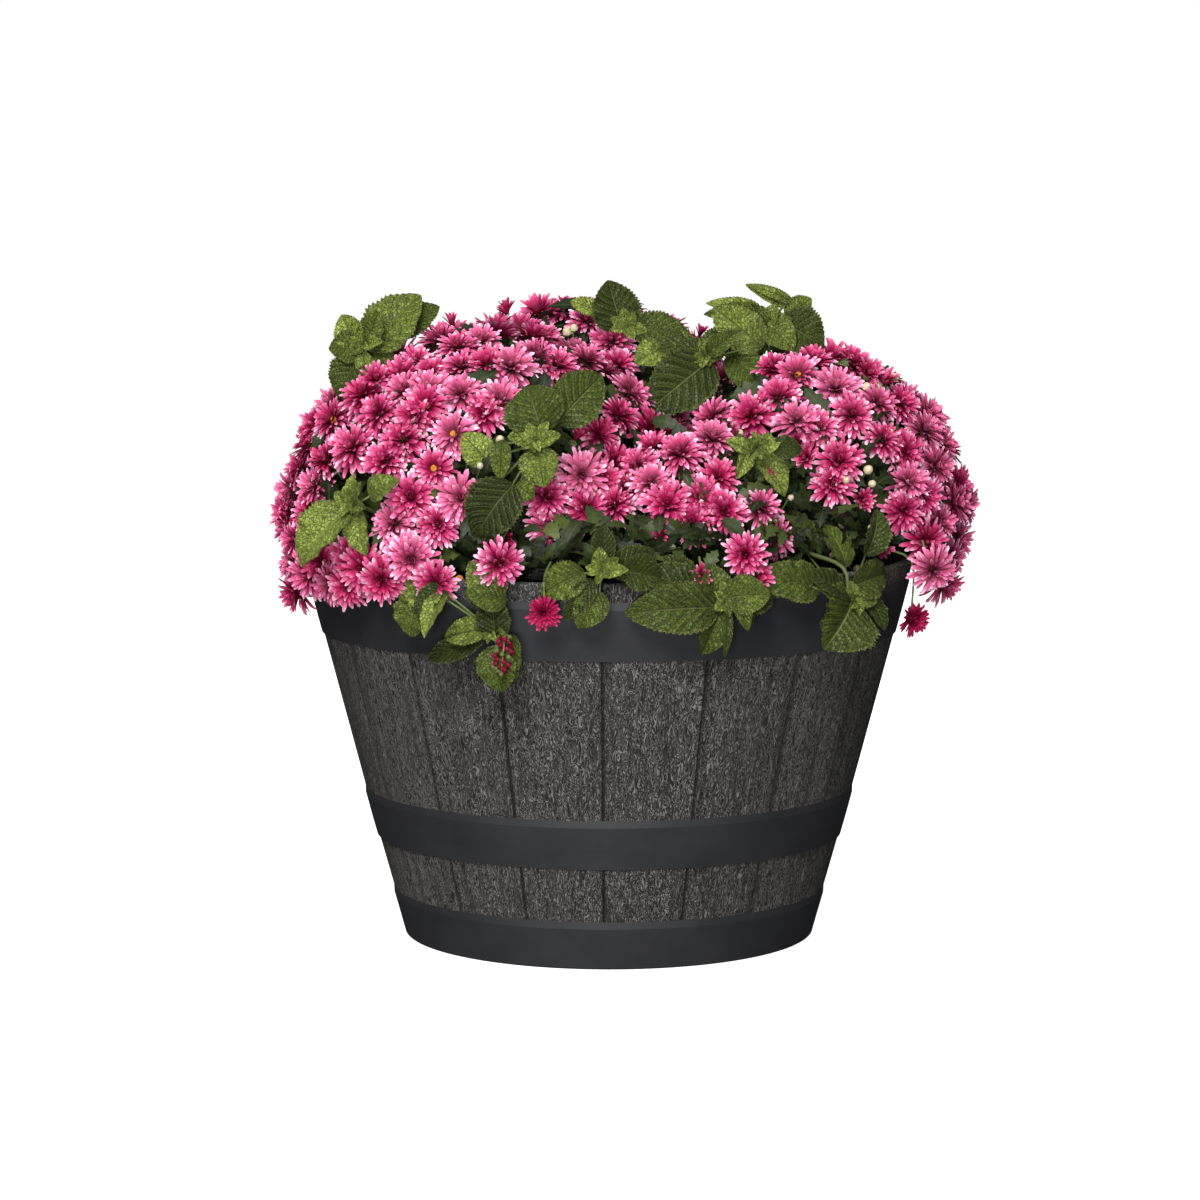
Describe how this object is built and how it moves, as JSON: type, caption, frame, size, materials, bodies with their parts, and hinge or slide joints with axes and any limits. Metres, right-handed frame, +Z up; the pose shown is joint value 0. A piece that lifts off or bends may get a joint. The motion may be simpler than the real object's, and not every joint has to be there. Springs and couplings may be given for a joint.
{
  "type": "planter",
  "caption": "Half-barrel planter tub with wood-grain staves and dark bands, planted with pink garden mums and broad-leaved shoots over the rim.",
  "frame": {"origin": "on the tub's upright axis, at the level of the floor that its foot ring stands on", "axes": "+Z up along the tub's axis; -Y is the front of the planting, where the leaves hang over the rim; +X to the right as seen from the front"},
  "size_m": [0.6009, 0.5783, 0.5663],
  "materials": {
    "stave_resin": "matt, moulded wood grain",
    "band_resin": "satin, slightly worn",
    "plug_rubber": "matt",
    "potting_mix": "crumbly",
    "petals": "soft",
    "stems": "matt",
    "mum_leaves": "matt",
    "broad_leaves": "satin"
  },
  "bodies": {
    "tub": {"tub_shell": "stave_resin", "top_band": "band_resin", "middle_band": "band_resin", "bottom_band": "band_resin"},
    "drain_plug": {"drain_plug": "plug_rubber"},
    "planting": {"bud_front": "petals", "bud_right": "petals", "leafy_centre_root_ball": "potting_mix", "leafy_centre_stems": "stems", "leafy_left_root_ball": "potting_mix", "leafy_left_stems": "stems", "leafy_right_root_ball": "potting_mix", "leafy_right_stems": "stems", "mum_back_blooms": "petals", "mum_back_foliage": "mum_leaves", "mum_back_root_ball": "potting_mix", "mum_back_stems": "stems", "mum_front_blooms": "petals", "mum_front_foliage": "mum_leaves", "mum_front_root_ball": "potting_mix", "mum_front_stems": "stems", "mum_left_blooms": "petals", "mum_left_foliage": "mum_leaves", "mum_left_root_ball": "potting_mix", "mum_left_stems": "stems", "mum_right_blooms": "petals", "mum_right_foliage": "mum_leaves", "mum_right_root_ball": "potting_mix", "mum_right_stems": "stems", "potting_mix": "potting_mix", "shoot_back_drape": "broad_leaves", "shoot_back_left": "broad_leaves", "shoot_back_right": "broad_leaves", "shoot_centre_left": "broad_leaves", "shoot_centre_right": "broad_leaves", "shoot_drape_far_left": "broad_leaves", "shoot_drape_far_right": "broad_leaves", "shoot_drape_left": "broad_leaves", "shoot_drape_right": "broad_leaves", "shoot_left": "broad_leaves", "shoot_rim_centre": "broad_leaves", "shoot_top_centre": "broad_leaves", "shoot_top_left": "broad_leaves", "shoot_top_right": "broad_leaves", "shoot_young_right": "broad_leaves"}
  },
  "joints": [
    {"name": "planting_lift", "type": "slide", "parent": "tub", "child": "planting", "axis": [0, 0, 1], "range_m": [0, 0.35]},
    {"name": "plug_pull", "type": "slide", "parent": "tub", "child": "drain_plug", "axis": [0, 0, -1], "range_m": [0, 0.012]}
  ]
}
